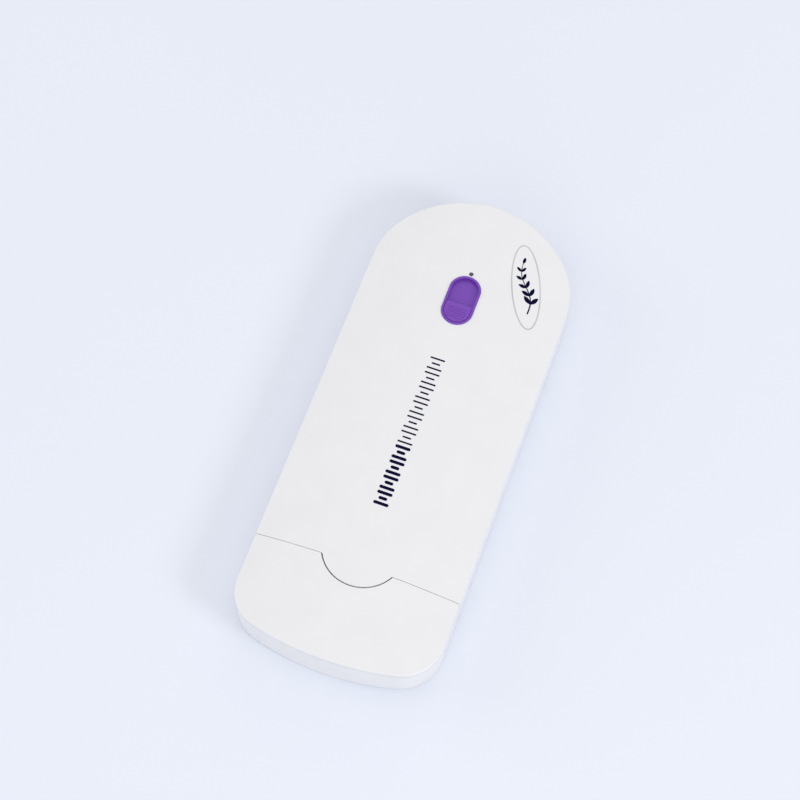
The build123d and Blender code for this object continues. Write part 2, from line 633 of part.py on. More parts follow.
with BuildPart() as motor_can:
    with BuildSketch(Plane.YZ.offset(MOTOR_LEFT + 1.8)):
        flat_can_sketch(0)
    extrude(amount=MOTOR_RIGHT - MOTOR_LEFT - 1.8)
    with BuildSketch(Plane.YZ.offset(MOTOR_LEFT)):
        flat_can_sketch(CAN_WALL)
    extrude(amount=MOTOR_RIGHT - MOTOR_LEFT - CAN_WALL, mode=Mode.SUBTRACT)
    rod(MOTOR_RIGHT - 1, MOTOR_RIGHT + 1, MOTOR_Y, AXIS_Z, BUSH_RADIUS, Mode.SUBTRACT)
save(motor_can.part, "motor_can")

with BuildPart() as motor_end_cap:
    with BuildSketch(Plane.YZ.offset(MOTOR_LEFT)):
        flat_can_sketch(0)
    extrude(amount=1.8)
    rod(MOTOR_LEFT + 0.6, MOTOR_LEFT + 2, MOTOR_Y, AXIS_Z, SHAFT_RADIUS + 0.05, Mode.SUBTRACT)
save(motor_end_cap.part, "motor_end_cap")

with BuildPart() as motor_bush:
    rod(MOTOR_RIGHT - 1.2, MOTOR_RIGHT + 0.6, MOTOR_Y, AXIS_Z, BUSH_RADIUS)
    rod(MOTOR_RIGHT - 2, MOTOR_RIGHT + 1, MOTOR_Y, AXIS_Z, SHAFT_RADIUS + 0.05, Mode.SUBTRACT)
save(motor_bush.part, "motor_bush")

with BuildPart() as motor_magnets:
    with BuildSketch(Plane.YZ.offset(MOTOR_LEFT + 4.5)):
        flat_can_sketch(CAN_WALL)
        with Locations((MOTOR_Y, AXIS_Z)):
            Circle(MAGNET_BORE, mode=Mode.SUBTRACT)
            Rectangle(3.0, MOTOR_HEIGHT + 1, mode=Mode.SUBTRACT)
            Rectangle(2 * MAGNET_INNER_HALF, MOTOR_HEIGHT + 1, mode=Mode.SUBTRACT)
    extrude(amount=12.0)
save(motor_magnets.part, "motor_magnets")

with BuildPart() as motor_shaft:
    rod(MOTOR_LEFT + 0.7, GEAR_X + GEAR_FACE + 0.4, MOTOR_Y, AXIS_Z, SHAFT_RADIUS)
save(motor_shaft.part, "motor_shaft")

with BuildPart() as motor_armature:
    with BuildSketch(Plane.YZ.offset(MOTOR_LEFT + 5.5)):
        with Locations((MOTOR_Y, AXIS_Z)):
            Circle(ARMATURE_RADIUS)
            Circle(SHAFT_RADIUS, mode=Mode.SUBTRACT)
            with PolarLocations(ARMATURE_RADIUS, 3):
                Rectangle(2.6, 0.8, mode=Mode.SUBTRACT)
    extrude(amount=10.0)
save(motor_armature.part, "motor_armature")

with BuildPart() as motor_commutator:
    rod(MOTOR_LEFT + 2.3, MOTOR_LEFT + 5.0, MOTOR_Y, AXIS_Z, 1.3)
    rod(MOTOR_LEFT + 2.0, MOTOR_LEFT + 6.0, MOTOR_Y, AXIS_Z, SHAFT_RADIUS, Mode.SUBTRACT)
save(motor_commutator.part, "motor_commutator")

with BuildPart() as motor_mounts:
    for side in (-1, 1):
        near = MOTOR_Y + side * (MOTOR_WIDTH / 2 + 0.02)
        far = MOTOR_Y + side * (MOTOR_WIDTH / 2 + MOUNT_THICKNESS)
        block_between((MOTOR_LEFT + 1.5, min(near, far), neck_floor_top),
                      (MOTOR_RIGHT - 2, max(near, far), 9.2))
save(motor_mounts.part, "motor_mounts")

with BuildPart() as motor_terminals:
    for terminal_z in (AXIS_Z - 2.6, AXIS_Z + 2.6):
        block_between((MOTOR_LEFT - 1.6, MOTOR_Y - 0.9, terminal_z - 0.2),
                      (MOTOR_LEFT, MOTOR_Y + 0.9, terminal_z + 0.2))
save(motor_terminals.part, "motor_terminals")

# ---------------------------------------------------------------- light board behind the head
LIGHT_BOARD_Y = NECK_FRONT + NECK_WALL + 0.9

with BuildPart() as light_board:
    block_between((LED_X - 3.3, LIGHT_BOARD_Y, neck_floor_top), (LED_X + 9.0, LIGHT_BOARD_Y + 1.0, 10.0))
save(light_board.part, "light_board")

with BuildPart() as blue_leds:
    for led_x in (LED_X - 0.75, LED_X + 0.75):
        block_between((led_x - 0.6, LIGHT_BOARD_Y - 0.8, LED_Z - 0.6),
                      (led_x + 0.6, LIGHT_BOARD_Y, LED_Z + 0.6))
save(blue_leds.part, "blue_leds")

with BuildPart() as skin_sensor_chip:
    block_between((LED_X + 4.0, LIGHT_BOARD_Y + 1.0, 5.0), (LED_X + 7.0, LIGHT_BOARD_Y + 1.9, 8.0))
    chamfer(skin_sensor_chip.faces().sort_by(Axis.Y)[-1].edges(), 0.15)
save(skin_sensor_chip.part, "skin_sensor_chip")

# ---------------------------------------------------------------- wires held inside the case
WIRE_RADIUS = 0.45


def wire(name, *points, bend=1.6):
    """An insulated lead: straight runs joined by tangent bends."""
    with BuildPart() as lead:
        with BuildLine() as path:
            FilletPolyline(*points, radius=bend)
        with BuildSketch(Plane(origin=path.line @ 0, z_dir=path.line % 0)):
            Circle(WIRE_RADIUS)
        sweep()
    save(lead.part, name)


def motor_lead(name, start_x, rear_turn, terminal_z):
    """From the front edge of the main board, past the battery, to a motor terminal."""
    wire(name,
         (start_x, BOARD_FRONT + 2.0, BOARD_TOP + WIRE_RADIUS),
         (start_x, rear_turn, BOARD_TOP + WIRE_RADIUS),
         (MOTOR_LEFT - 4.4, rear_turn - 13.0, terminal_z),
         (MOTOR_LEFT - 4.4, MOTOR_Y, terminal_z),
         (MOTOR_LEFT - 1.62, MOTOR_Y, terminal_z))


motor_lead("motor_lead_red", 2.0, -28.0, AXIS_Z + 2.6)
motor_lead("motor_lead_black", -0.6, -26.5, AXIS_Z - 2.6)

wire("battery_lead_red",
     (CELL_X + 0.4, CELL_REAR + 0.25, AXIS_Z + 2.6),
     (CELL_X + 0.4, CELL_REAR + 1.6, AXIS_Z + 2.6),
     (CELL_X + 0.4, BOARD_FRONT + 3.2, BOARD_TOP + 3.0),
     (CELL_X + 0.4, BOARD_FRONT + 3.4, BOARD_TOP + 0.01))

wire("battery_lead_black",
     (CELL_X + 6.1, CELL_FRONT + 0.02, BOARD_TOP + WIRE_RADIUS),
     (CELL_X + 6.9, -6.0, BOARD_TOP + WIRE_RADIUS),
     (CELL_X + 6.3, BOARD_FRONT + 2.2, BOARD_TOP + WIRE_RADIUS), bend=8.0)

with BuildPart() as led_ribbon:
    with BuildLine() as ribbon_path:
        FilletPolyline((LED_X + 1.6, 33.0, 5.3), (LED_X, 27.0, 5.3), (LED_X, -50.0, 5.3),
                       (LED_X + 2.6, LIGHT_BOARD_Y + 1.05, 5.3), radius=4.0)
    with BuildSketch(Plane(origin=ribbon_path.line @ 0, x_dir=(0, 0, 1), z_dir=ribbon_path.line % 0)):
        Rectangle(2.8, 0.4)
    sweep()
save(led_ribbon.part, "led_ribbon")

# ---------------------------------------------------------------- head cassette
HEAD_INSET = 2.1
HEAD_FLOOR = 1.9
HEAD_TOP_DROP = 1.9
NOSE_Y = -66.2              # the frame's recessed front between its two cheeks
RING_FRONT = -67.5
RING_HALF = 16.0
HEAD_REAR = NECK_FRONT - HEAD_GAP
CHAMBER_RADIUS = FOIL_INNER + FOIL_THICKNESS + 0.02
CHAMBER_HALF = FOIL_HALF + 0.1
FOIL_ARC = 118              # degrees each side of straight ahead
POCKET_RADIUS = pitch_radius(DRUM_TEETH) + 0.46
POCKET_LEFT, POCKET_RIGHT = GEAR_X - 0.3, GEAR_X + GEAR_FACE + 0.3
BUSH_RADIUS_OUT = 1.9
AXLE_RADIUS = 0.75
ARM_X = (LED_X - 0.7, LED_X + 0.7)
ARM_Z = (LED_Z - 0.9, LED_Z + 0.9)
ARM_EASE = 0.1

head_blank = crowned_block(HEAD_INSET, HEAD_FLOOR, HEAD_TOP_DROP, CAP_END, HEAD_REAR)

with BuildPart() as cassette_frame:
    add(head_blank)
    block_between((-RING_HALF - 0.05, CAP_END, 0), (RING_HALF + 0.05, NOSE_Y, 20), Mode.SUBTRACT)
    rod(-CHAMBER_HALF, CHAMBER_HALF, DRUM_Y, AXIS_Z, CHAMBER_RADIUS, Mode.SUBTRACT)
    rod(POCKET_LEFT, POCKET_RIGHT, DRUM_Y, AXIS_Z, POCKET_RADIUS, Mode.SUBTRACT)
    block_between((POCKET_LEFT, DRUM_Y, AXIS_Z - POCKET_RADIUS),
                  (POCKET_RIGHT, HEAD_REAR + 1, AXIS_Z + POCKET_RADIUS), Mode.SUBTRACT)
    rod(-RING_HALF - 0.6, POCKET_LEFT + 0.1, DRUM_Y, AXIS_Z, BUSH_RADIUS_OUT, Mode.SUBTRACT)
    # passage for the light guide's arm through the left cheek
    passage_low = (ARM_X[0] - ARM_EASE, RING_FRONT - ARM_EASE, ARM_Z[0] - ARM_EASE)
    passage_top = ARM_Z[1] + ARM_EASE
    block_between(passage_low, (-RING_HALF + 0.1, NOSE_Y + ARM_EASE, passage_top), Mode.SUBTRACT)
    block_between(passage_low, (ARM_X[1] + ARM_EASE, HEAD_REAR + 1, passage_top), Mode.SUBTRACT)
    for side in (-1, 1):
        x = side * PRONG_X
        block_between((x - PRONG_WIDTH / 2, HEAD_REAR - 1, PRONG_LOW),
                      (x + PRONG_WIDTH / 2, HEAD_REAR + PRONG_LENGTH, PRONG_HIGH))
save(cassette_frame.part, "cassette_frame")

with BuildPart() as light_guide:
    with BuildSketch(Plane.XZ.offset(-NOSE_Y)):
        with Locations((0, AXIS_Z)):
            RectangleRounded(2 * RING_HALF, 9.6, 0.8)
            RectangleRounded(2 * CHAMBER_HALF, 8.0, 0.4, mode=Mode.SUBTRACT)
    extrude(amount=NOSE_Y - RING_FRONT)
    fillet(light_guide.faces().sort_by(Axis.Y)[0].edges(), 0.2)
    block_between((ARM_X[0], RING_FRONT + 0.1, ARM_Z[0]), (-CHAMBER_HALF - 0.5, NOSE_Y, ARM_Z[1]))
    block_between((ARM_X[0], RING_FRONT + 0.1, ARM_Z[0]), (ARM_X[1], HEAD_REAR, ARM_Z[1]))
save(light_guide.part, "light_guide")

FOIL_SLOT_ROWS, FOIL_SLOTS = 5, 14
SLOT_PITCH = 2.0

with BuildPart() as foil:
    with BuildSketch(Plane(origin=(-FOIL_HALF, DRUM_Y, AXIS_Z), x_dir=(0, -1, 0), z_dir=(1, 0, 0))):
        with BuildLine():
            outer = CenterArc((0, 0), FOIL_INNER + FOIL_THICKNESS, -FOIL_ARC, 2 * FOIL_ARC)
            inner = CenterArc((0, 0), FOIL_INNER, -FOIL_ARC, 2 * FOIL_ARC)
            Line(outer @ 0, inner @ 0)
            Line(outer @ 1, inner @ 1)
        make_face()
    extrude(amount=2 * FOIL_HALF)
    for row in range(FOIL_SLOT_ROWS):
        tilt = 20 * (row - (FOIL_SLOT_ROWS - 1) / 2)
        slot_plane = Plane(origin=(0, DRUM_Y, AXIS_Z), x_dir=(1, 0, 0),
                           z_dir=(0, -cos(radians(tilt)), sin(radians(tilt))))
        with BuildSketch(slot_plane.offset(3)):
            with Locations((SLOT_PITCH / 4 * (1 if row % 2 else -1), 0)):
                with GridLocations(SLOT_PITCH, 1, FOIL_SLOTS, 1):
                    SlotOverall(1.2, 0.5, rotation=60)
        extrude(amount=3, mode=Mode.SUBTRACT)
save(foil.part, "foil")

with BuildPart() as drum_bushes:
    rod(-RING_HALF, -CHAMBER_HALF, DRUM_Y, AXIS_Z, BUSH_RADIUS_OUT)
    rod(CHAMBER_HALF, POCKET_LEFT, DRUM_Y, AXIS_Z, BUSH_RADIUS_OUT)
    rod(-RING_HALF - 1, POCKET_LEFT + 1, DRUM_Y, AXIS_Z, AXLE_RADIUS + 0.05, Mode.SUBTRACT)
save(drum_bushes.part, "drum_bushes")

# ---------------------------------------------------------------- cutter drum
BLADE_COUNT = 4
BLADE_TWIST = 55            # degrees from one end of the drum to the other
BLADE_STATIONS = 5
BLADE_ROOT = 2.3
BLADE_THICKNESS = 0.45
CORE_RADIUS = 3.1
BLADE_HALF = DRUM_HALF - 0.4


def helical_blade(start_angle):
    """One blade: a thin radial strip that winds round the core along its length."""
    with BuildPart() as blade:
        for station in range(BLADE_STATIONS):
            share = station / (BLADE_STATIONS - 1)
            angle = radians(start_angle + BLADE_TWIST * share)
            section = Plane(origin=(BLADE_HALF * (2 * share - 1), DRUM_Y, AXIS_Z),
                            x_dir=(0, cos(angle), sin(angle)), z_dir=(1, 0, 0))
            with BuildSketch(section):
                with Locations(((BLADE_ROOT + DRUM_RADIUS) / 2, 0)):
                    Rectangle(DRUM_RADIUS - BLADE_ROOT, BLADE_THICKNESS)
        loft()
    return blade.part


blade_set = [helical_blade(360 / BLADE_COUNT * turn) for turn in range(BLADE_COUNT)]

with BuildPart() as drum_blades:
    add(blade_set)
save(drum_blades.part, "drum_blades")

with BuildPart() as drum_core:
    rod(-DRUM_HALF, DRUM_HALF, DRUM_Y, AXIS_Z, CORE_RADIUS)
    add(blade_set, mode=Mode.SUBTRACT)
    rod(-DRUM_HALF - 1, DRUM_HALF + 1, DRUM_Y, AXIS_Z, AXLE_RADIUS, Mode.SUBTRACT)
save(drum_core.part, "drum_core")

with BuildPart() as drum_axle:
    rod(-RING_HALF + 0.1, GEAR_X + GEAR_FACE, DRUM_Y, AXIS_Z, AXLE_RADIUS)
save(drum_axle.part, "drum_axle")
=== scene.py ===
"""Looks of the light-guided hair remover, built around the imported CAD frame.  Metres."""
import json
import math

import bmesh
import bpy
from mathutils import Matrix, Vector
from mathutils.bvhtree import BVHTree


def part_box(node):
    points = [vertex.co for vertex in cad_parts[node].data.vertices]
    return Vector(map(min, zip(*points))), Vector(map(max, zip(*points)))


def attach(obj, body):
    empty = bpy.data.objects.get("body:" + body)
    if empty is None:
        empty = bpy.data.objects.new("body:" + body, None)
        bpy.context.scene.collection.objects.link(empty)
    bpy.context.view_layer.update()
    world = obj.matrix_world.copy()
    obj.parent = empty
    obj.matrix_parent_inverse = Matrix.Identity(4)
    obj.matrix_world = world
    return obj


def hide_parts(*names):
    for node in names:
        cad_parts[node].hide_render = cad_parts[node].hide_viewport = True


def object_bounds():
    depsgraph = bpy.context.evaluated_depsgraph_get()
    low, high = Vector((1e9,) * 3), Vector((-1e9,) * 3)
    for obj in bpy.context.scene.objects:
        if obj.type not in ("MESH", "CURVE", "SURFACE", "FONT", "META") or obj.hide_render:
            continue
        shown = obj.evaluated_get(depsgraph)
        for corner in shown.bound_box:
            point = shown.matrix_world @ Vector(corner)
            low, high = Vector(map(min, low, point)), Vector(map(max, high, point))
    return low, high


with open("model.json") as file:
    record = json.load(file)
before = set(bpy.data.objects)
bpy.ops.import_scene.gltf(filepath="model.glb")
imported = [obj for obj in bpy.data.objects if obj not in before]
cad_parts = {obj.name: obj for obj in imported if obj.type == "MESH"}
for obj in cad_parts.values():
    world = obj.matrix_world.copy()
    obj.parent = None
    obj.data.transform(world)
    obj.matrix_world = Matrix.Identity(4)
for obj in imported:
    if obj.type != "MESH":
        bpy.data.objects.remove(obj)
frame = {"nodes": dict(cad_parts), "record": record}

MM = 0.001
CAD_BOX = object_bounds()


def add_object(name, data):
    thing = bpy.data.objects.new(name, data)
    bpy.context.scene.collection.objects.link(thing)
    return thing


# ---------------------------------------------------------------- node-material helpers
def new_material(name):
    material = bpy.data.materials.new(name)
    material.use_nodes = True
    tree = material.node_tree
    return material, tree, tree.nodes["Principled BSDF"]


def coordinates(tree, stretch=(1, 1, 1)):
    """Object coordinates, which are the row frame in metres, stretched along each axis."""
    source = tree.nodes.new("ShaderNodeTexCoord")
    mapping = tree.nodes.new("ShaderNodeMapping")
    mapping.inputs["Scale"].default_value = stretch
    tree.links.new(source.outputs["Object"], mapping.inputs["Vector"])
    return mapping.outputs["Vector"]


def noise(tree, size, detail=3.0, stretch=(1, 1, 1)):
    """A noise whose features are about `size` metres across."""
    node = tree.nodes.new("ShaderNodeTexNoise")
    node.inputs["Scale"].default_value = 1 / size
    node.inputs["Detail"].default_value = detail
    tree.links.new(coordinates(tree, stretch), node.inputs["Vector"])
    return node.outputs["Fac"]


def spread(tree, value, low, high):
    """Maps the middle of a 0..1 signal onto low..high."""
    node = tree.nodes.new("ShaderNodeMapRange")
    node.inputs["From Min"].default_value = 0.3
    node.inputs["From Max"].default_value = 0.7
    node.inputs["To Min"].default_value = low
    node.inputs["To Max"].default_value = high
    tree.links.new(value, node.inputs["Value"])
    return node.outputs["Result"]


def two_tone(tree, value, dark, light):
    """A colour between two tones, led by a 0..1 signal."""
    ramp = tree.nodes.new("ShaderNodeValToRGB")
    ramp.color_ramp.elements[0].position = 0.3
    ramp.color_ramp.elements[1].position = 0.7
    ramp.color_ramp.elements[0].color = (*dark, 1)
    ramp.color_ramp.elements[1].color = (*light, 1)
    tree.links.new(value, ramp.inputs["Fac"])
    return ramp.outputs["Color"]


def paint(tree, shader, value, dark, light):
    """Base colour that drifts between two tones with a 0..1 signal."""
    tree.links.new(two_tone(tree, value, dark, light), shader.inputs["Base Color"])


def gloss(tree, shader, value, low, high):
    """Roughness that drifts between two values with a 0..1 signal."""
    tree.links.new(spread(tree, value, low, high), shader.inputs["Roughness"])


def bump(tree, shader, height, depth):
    """Bump of `depth` metres from a 0..1 signal."""
    node = tree.nodes.new("ShaderNodeBump")
    node.inputs["Strength"].default_value = 1.0
    node.inputs["Distance"].default_value = depth
    tree.links.new(height, node.inputs["Height"])
    tree.links.new(node.outputs["Normal"], shader.inputs["Normal"])


def shades(colour, change):
    """The same colour a little darker and a little lighter."""
    return [tuple(min(1.0, c * factor) for c in colour) for factor in (1 - change, 1 + change)]


def moulded(name, colour, roughness, texture=0.25 * MM, depth=0.003 * MM, cloud=0.012, ior=1.5):
    """Injection-moulded plastic: slow colour drift, fine skin texture, uneven gloss."""
    material, tree, shader = new_material(name)
    dark, light = shades(colour, cloud)
    paint(tree, shader, noise(tree, 9 * MM), dark, light)
    gloss(tree, shader, noise(tree, 4 * MM), roughness * 0.92, roughness * 1.12)
    bump(tree, shader, noise(tree, texture), depth)
    shader.inputs["IOR"].default_value = ior
    return material


def metal(name, colour, roughness, stretch=(1, 1, 1)):
    """Metal with a fine grain that can run along one axis."""
    material, tree, shader = new_material(name)
    dark, light = shades(colour, 0.06)
    grain = noise(tree, 0.05 * MM, 4.0, stretch)
    paint(tree, shader, noise(tree, 1.5 * MM), dark, light)
    gloss(tree, shader, grain, roughness * 0.75, roughness * 1.35)
    bump(tree, shader, grain, 0.002 * MM)
    shader.inputs["Metallic"].default_value = 1.0
    return material


def rubber(name, colour, roughness=0.6):
    """Soft rubber or vinyl: fine grain, dull in patches."""
    return moulded(name, colour, roughness, texture=0.12 * MM, depth=0.008 * MM, cloud=0.05, ior=1.48)


def stripes(tree, pitch, axis):
    """A 0..1 signal that rises and falls along an axis, with soft-edged bands spaced by `pitch`."""
    node = tree.nodes.new("ShaderNodeTexWave")
    node.bands_direction = axis
    node.inputs["Scale"].default_value = math.pi / (10 * pitch)
    node.inputs["Distortion"].default_value = 0.0
    tree.links.new(coordinates(tree), node.inputs["Vector"])
    ramp = tree.nodes.new("ShaderNodeMapRange")
    ramp.inputs["From Min"].default_value = 0.25
    ramp.inputs["From Max"].default_value = 0.75
    tree.links.new(node.outputs["Fac"], ramp.inputs["Value"])
    return ramp.outputs["Result"]


def board_material(name):
    """Green solder mask with fine copper traces showing through as lighter lines."""
    material, tree, shader = new_material(name)
    cells = tree.nodes.new("ShaderNodeTexBrick")
    cells.inputs["Scale"].default_value = 1 / (4 * MM)
    cells.inputs["Color1"].default_value = (0.006, 0.10, 0.035, 1)
    cells.inputs["Color2"].default_value = (0.008, 0.13, 0.045, 1)
    cells.inputs["Mortar"].default_value = (0.02, 0.24, 0.08, 1)
    cells.inputs["Mortar Size"].default_value = 0.05
    tree.links.new(coordinates(tree), cells.inputs["Vector"])
    tree.links.new(cells.outputs["Color"], shader.inputs["Base Color"])
    gloss(tree, shader, noise(tree, 1 * MM), 0.25, 0.38)
    bump(tree, shader, cells.outputs["Fac"], 0.02 * MM)
    return material


def clear(name, colour, roughness, transmission):
    """Tinted see-through plastic, very slightly cloudy."""
    material, tree, shader = new_material(name)
    dark, light = shades(colour, 0.04)
    paint(tree, shader, noise(tree, 2 * MM), dark, light)
    gloss(tree, shader, noise(tree, 0.5 * MM), roughness * 0.8, roughness * 1.2)
    shader.inputs["Transmission Weight"].default_value = transmission
    shader.inputs["IOR"].default_value = 1.49
    return material


def striped(name, dark, light, pitch, axis, roughness):
    """Parallel conductors or laminations."""
    material, tree, shader = new_material(name)
    lines = stripes(tree, pitch, axis)
    paint(tree, shader, lines, dark, light)
    gloss(tree, shader, noise(tree, 0.5 * MM), roughness * 0.85, roughness * 1.15)
    bump(tree, shader, lines, 0.05 * MM)
    return material


WHITE = (0.822, 0.823, 0.846)
PURPLE = (0.18, 0.05, 0.45)
INDIGO = (0.001, 0.0005, 0.028)
PALE_INK = (0.56, 0.565, 0.57)

finishes = {
    "white_shell": moulded("shell_plastic", WHITE, 0.36),
    "white_cover": moulded("cover_plastic", WHITE, 0.33),
    "white_cap": moulded("cap_plastic", WHITE, 0.33),
    "neck_plastic": moulded("neck_plastic", (0.76, 0.77, 0.79), 0.45, texture=0.18 * MM, depth=0.01 * MM),
    "head_white": moulded("head_plastic", (0.80, 0.81, 0.83), 0.33),
    "purple_bezel": moulded("bezel_plastic", PURPLE, 0.32, cloud=0.03),
    "purple_knob": moulded("knob_plastic", PURPLE, 0.36, cloud=0.03),
    "black_plastic": moulded("nub_plastic", (0.02, 0.02, 0.022), 0.45, cloud=0.1),
    "chip_black": moulded("chip_epoxy", (0.018, 0.018, 0.02), 0.6,
                          texture=0.08 * MM, depth=0.006 * MM, cloud=0.12),
    "motor_cap": moulded("motor_cap_nylon", (0.72, 0.71, 0.66), 0.5, cloud=0.04),
    "gear_nylon": moulded("gear_acetal", (0.80, 0.78, 0.70), 0.38, cloud=0.03),
    "drum_core": moulded("core_plastic", (0.03, 0.03, 0.035), 0.42, cloud=0.1),
    "foam_cradle": moulded("cradle_plastic", (0.70, 0.71, 0.74), 0.5, cloud=0.03),
    "battery_wrap": moulded("battery_film", (0.02, 0.12, 0.34), 0.22,
                            texture=1.2 * MM, depth=0.01 * MM, cloud=0.06),
    "plug_rubber": rubber("plug_rubber", (0.70, 0.71, 0.73), 0.5),
    "mount_rubber": rubber("mount_rubber", (0.03, 0.03, 0.032)),
    "wire_red": rubber("red_insulation", (0.42, 0.012, 0.012), 0.4),
    "wire_black": rubber("black_insulation", (0.02, 0.02, 0.02), 0.4),
    "circuit_board": board_material("circuit_board"),
    "ribbon": striped("ribbon_cable", (0.42, 0.42, 0.44), (0.66, 0.66, 0.68), 0.5 * MM, "Z", 0.4),
    "armature": striped("armature_laminations", (0.10, 0.09, 0.085), (0.26, 0.24, 0.22),
                        0.5 * MM, "X", 0.45),
    "switch_metal": metal("switch_plate", (0.62, 0.62, 0.60), 0.34),
    "port_steel": metal("port_shell", (0.66, 0.66, 0.66), 0.22),
    "capacitor_can": metal("capacitor_can", (0.70, 0.71, 0.73), 0.3, stretch=(1, 1, 8)),
    "screw_steel": metal("screw_steel", (0.55, 0.55, 0.57), 0.3),
    "nickel_tab": metal("nickel_strip", (0.62, 0.58, 0.51), 0.3, stretch=(1, 1, 6)),
    "pin_steel": metal("ground_pin", (0.60, 0.60, 0.62), 0.22, stretch=(1, 8, 8)),
    "motor_steel": metal("motor_can_steel", (0.56, 0.57, 0.59), 0.3, stretch=(1, 6, 6)),
    "bush_brass": metal("bush_brass", (0.72, 0.50, 0.20), 0.28, stretch=(1, 8, 8)),
    "magnet": metal("sintered_magnet", (0.10, 0.10, 0.11), 0.55),
    "copper": metal("copper_segments", (0.72, 0.32, 0.17), 0.25, stretch=(1, 8, 8)),
    "foil_steel": metal("foil_steel", (0.78, 0.78, 0.80), 0.2, stretch=(1, 6, 6)),
    "blade_steel": metal("blade_steel", (0.66, 0.66, 0.68), 0.2, stretch=(8, 1, 1)),
    "lens_clear": clear("indicator_lens", (0.10, 0.085, 0.095), 0.10, 0.25),
    "led_body": clear("led_body", (0.80, 0.70, 0.42), 0.2, 0.6),
    "blue_led": clear("blue_led", (0.08, 0.22, 0.85), 0.2, 0.5),
    "guide_blue": clear("light_guide", (0.25, 0.48, 0.92), 0.15, 0.6),
}

slot_of = {part["node"]: part["material_slot"] for part in frame["record"]["subparts"]}
for name, node in frame["nodes"].items():
    node.data.materials.clear()
    node.data.materials.append(finishes[slot_of[name]])

# ---------------------------------------------------------------- printed marks on the cover
INK = 0.03 * MM                 # how far the ink stands above and reaches below the cover
INK_IOR = 1.15                  # matt ink reflects less than the gloss plastic under it
COVER_MESH = frame["nodes"]["front_cover"].data
COVER_SURFACE = BVHTree.FromPolygons([v.co for v in COVER_MESH.vertices],
                                     [face.vertices for face in COVER_MESH.polygons])


def cover_top(x, y):
    """Height of the crowned cover at a point, found by looking down from well above it."""
    return COVER_SURFACE.ray_cast(Vector((x, y, 1.0)), Vector((0, 0, -1)))[0].z


def ribbon(mesh, path, half_widths, closed=False):
    """One inked stroke along `path`: a closed slab that follows the crowned cover."""
    last = len(path) - 1
    rings = []
    for i, (point, half) in enumerate(zip(path, half_widths)):
        before = path[i - 1] if closed or i > 0 else point
        after = path[(i + 1) % len(path)] if closed or i < last else point
        side = (after - before).normalized().orthogonal() * half
        left, right = point + side, point - side
        corners = [(left, INK), (right, INK), (right, -INK), (left, -INK)]
        rings.append([mesh.verts.new((p.x, p.y, cover_top(p.x, p.y) + lift)) for p, lift in corners])
    pairs = list(zip(rings, rings[1:]))
    if closed:
        pairs.append((rings[-1], rings[0]))
    else:
        mesh.faces.new(rings[0])
        mesh.faces.new(reversed(rings[-1]))
    for ring, following in pairs:
        for k in range(4):
            mesh.faces.new((ring[k], following[k], following[(k + 1) % 4], ring[(k + 1) % 4]))


END_TURNS = [math.radians(angle) for angle in range(10, 91, 16)]   # round a bar's end, from its tip


def rounded_bar(mesh, start, end, half):
    """A straight stroke with round ends."""
    middle, along = (start + end) / 2, (end - start).normalized()
    reach = (end - start).length / 2 - half
    stations = [(-reach - half * math.cos(turn), half * math.sin(turn)) for turn in END_TURNS]
    stations += [(-place, width) for place, width in reversed(stations)]
    ribbon(mesh, [middle + along * place for place, _ in stations], [width for _, width in stations])


LEAF_STEPS = 10
LEAF_POINT = 0.02 * MM          # half width of a leaf's two tips
LEAF_FULLNESS = 0.8             # below 1 the leaf is fuller than a sine curve


def leaf(mesh, root, heading, length, half):
    """A pointed oval, from its root along its heading."""
    shares = [i / LEAF_STEPS for i in range(LEAF_STEPS + 1)]
    path = [root + heading * (length * i / LEAF_STEPS) for i in range(LEAF_STEPS + 1)]
    half_widths = [max(LEAF_POINT, half * math.sin(math.pi * share) ** LEAF_FULLNESS) for share in shares]
    ribbon(mesh, path, half_widths)


def inked(name, mesh, colour):
    """Turns the strokes in a bmesh into a printed piece that rides on the handset."""
    bmesh.ops.recalc_face_normals(mesh, faces=mesh.faces)
    data = bpy.data.meshes.new(name)
    mesh.to_mesh(data)
    mesh.free()
    piece = add_object(name, data)
    data.materials.append(moulded(name + "_ink", colour, 0.5, texture=0.15 * MM, depth=0.002 * MM,
                                  cloud=0.10, ior=INK_IOR))
    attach(piece, "handset")


MARK_PITCH = 1.6 * MM
MARK_TOP = 20.3 * MM
THIN_BARS, BOLD_BARS = 18, 12
THIN_HALF, BOLD_HALF = 0.25 * MM, 0.46 * MM
MARK_REACH = 2.2 * MM
SHORT_REACH = 1.25 * MM


def scale_mark():
    """A plain graduated row along the centreline: fine bars, then bold ones, every third one short."""
    mesh = bmesh.new()
    for i in range(THIN_BARS + BOLD_BARS):
        y = MARK_TOP - MARK_PITCH * i
        reach = SHORT_REACH if i % 3 == 1 else MARK_REACH
        half = THIN_HALF if i < THIN_BARS else BOLD_HALF
        rounded_bar(mesh, Vector((-reach, y)), Vector((reach, y)), half)
    inked("scale_mark", mesh, INDIGO)


OVAL_CENTRE = Vector((15.94, 51.1)) * MM
OVAL_LONG, OVAL_SHORT = 13.2 * MM, 4.1 * MM
OVAL_TURN = math.radians(21)
OVAL_HALF = 0.2 * MM
OVAL_STEPS = 96


def oval_point(along, across):
    """A point given along and across the tilted oval."""
    return OVAL_CENTRE + Vector((across * math.cos(OVAL_TURN) - along * math.sin(OVAL_TURN),
                                 across * math.sin(OVAL_TURN) + along * math.cos(OVAL_TURN)))


def oval_mark():
    """The thin grey oval near the right edge."""
    mesh = bmesh.new()
    angles = [2 * math.pi * i / OVAL_STEPS for i in range(OVAL_STEPS)]
    path = [oval_point(OVAL_LONG * math.cos(a), OVAL_SHORT * math.sin(a)) for a in angles]
    ribbon(mesh, path, [OVAL_HALF] * OVAL_STEPS, closed=True)
    inked("oval_mark", mesh, PALE_INK)


